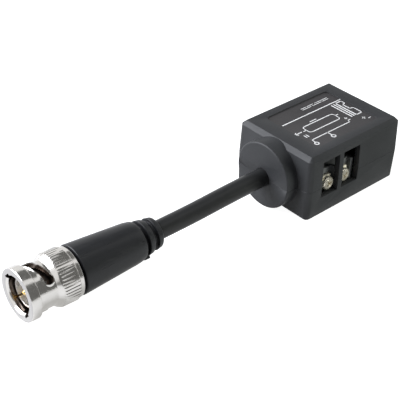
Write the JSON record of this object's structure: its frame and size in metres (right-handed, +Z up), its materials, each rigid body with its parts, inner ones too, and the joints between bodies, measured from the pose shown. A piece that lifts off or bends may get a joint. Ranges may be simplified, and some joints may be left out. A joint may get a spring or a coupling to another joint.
{
  "type": "video balun",
  "caption": "Passive video balun that sends camera video over a twisted pair: a screw-terminal case with a short coax lead and a bayonet plug.",
  "frame": {"origin": "on the base plane, under the middle of the case measured with its nose", "axes": "+X from the plug to the back of the case, +Y away from the terminals, +Z up"},
  "size_m": [0.1232, 0.0296, 0.0206],
  "materials": {
    "case_plastic": "black moulded ABS with a fine spark texture",
    "board_laminate": "green solder mask",
    "terminal_plastic": "black moulded",
    "tinned_plate": "tinned",
    "zinc_steel": "bright zinc plated",
    "ferrite": "sintered ferrite, dark grey",
    "winding_wire": "enamelled copper turns",
    "suppressor_shell": "glossy coat",
    "capacitor_coat": "dipped coat",
    "collar_metal": "crimped",
    "dielectric": "natural polyethylene",
    "bare_copper": "bare copper",
    "cable_jacket": "satin black vinyl",
    "boot_rubber": "satin black moulded vinyl",
    "plug_nickel": "bright nickel plate",
    "plug_insulator_white": "white moulded",
    "pin_gold": "gold flash",
    "gasket_rubber": "soft black",
    "spring_steel": "plain spring steel"
  },
  "bodies": {
    "housing": {"housing_lower": "case_plastic", "housing_upper": "case_plastic", "circuit_board": "board_laminate", "terminal_block": "terminal_plastic", "terminal_plate_1": "tinned_plate", "terminal_plate_2": "tinned_plate", "transformer_core": "ferrite", "transformer_winding_1": "winding_wire", "transformer_winding_2": "winding_wire", "surge_suppressor": "suppressor_shell", "filter_capacitor": "capacitor_coat", "cable_collar": "collar_metal", "coax_dielectric_end": "dielectric", "coax_conductor_end": "bare_copper", "coax_screen_end": "bare_copper", "cable": "cable_jacket", "plug_boot": "boot_rubber", "crimp_ferrule": "plug_nickel", "plug_body": "plug_nickel", "contact_sleeve": "plug_nickel", "plug_insulator": "plug_insulator_white", "centre_pin": "pin_gold", "coax_core_front": "dielectric", "front_gasket": "gasket_rubber", "spring_washer": "spring_steel"},
    "coupling_carrier": {"thrust_washer": "spring_steel"},
    "coupling": {"coupling_nut": "plug_nickel", "retaining_ring": "spring_steel"},
    "clamp_1": {"clamp_washer_1": "zinc_steel"},
    "screw_1": {"terminal_screw_1": "zinc_steel"},
    "clamp_2": {"clamp_washer_2": "zinc_steel"},
    "screw_2": {"terminal_screw_2": "zinc_steel"}
  },
  "joints": [
    {"name": "coupling_slide", "type": "slide", "parent": "housing", "child": "coupling_carrier", "axis": [-0.9997, 0.0158, 0.0168], "range_m": [0, 0.0007], "stiffness_N_per_m": 8000, "springref_m": -0.0005, "deforming": ["spring_washer"]},
    {"name": "coupling_turn", "type": "hinge", "parent": "coupling_carrier", "child": "coupling", "pos_m": [-0.09424, 0.00284, 0.00747], "axis": [-0.9997, 0.0158, 0.0168], "continuous": true},
    {"name": "clamp_lift_1", "type": "slide", "parent": "housing", "child": "clamp_1", "axis": [0, -1, 0], "range_m": [0, 0.00135]},
    {"name": "screw_turn_1", "type": "hinge", "parent": "clamp_1", "child": "screw_1", "pos_m": [-0.00788, -0.0123, 0.00885], "axis": [0, -1, 0], "range_deg": [0, 1080]},
    {"name": "clamp_lift_2", "type": "slide", "parent": "housing", "child": "clamp_2", "axis": [0, -1, 0], "range_m": [0, 0.00135]},
    {"name": "screw_turn_2", "type": "hinge", "parent": "clamp_2", "child": "screw_2", "pos_m": [-0.00098, -0.0123, 0.00885], "axis": [0, -1, 0], "range_deg": [0, 1080]}
  ],
  "couplings": [
    {"joint": "screw_turn_1", "follows": "clamp_lift_1", "rad_per_m": 13963},
    {"joint": "screw_turn_2", "follows": "clamp_lift_2", "rad_per_m": 13963}
  ]
}
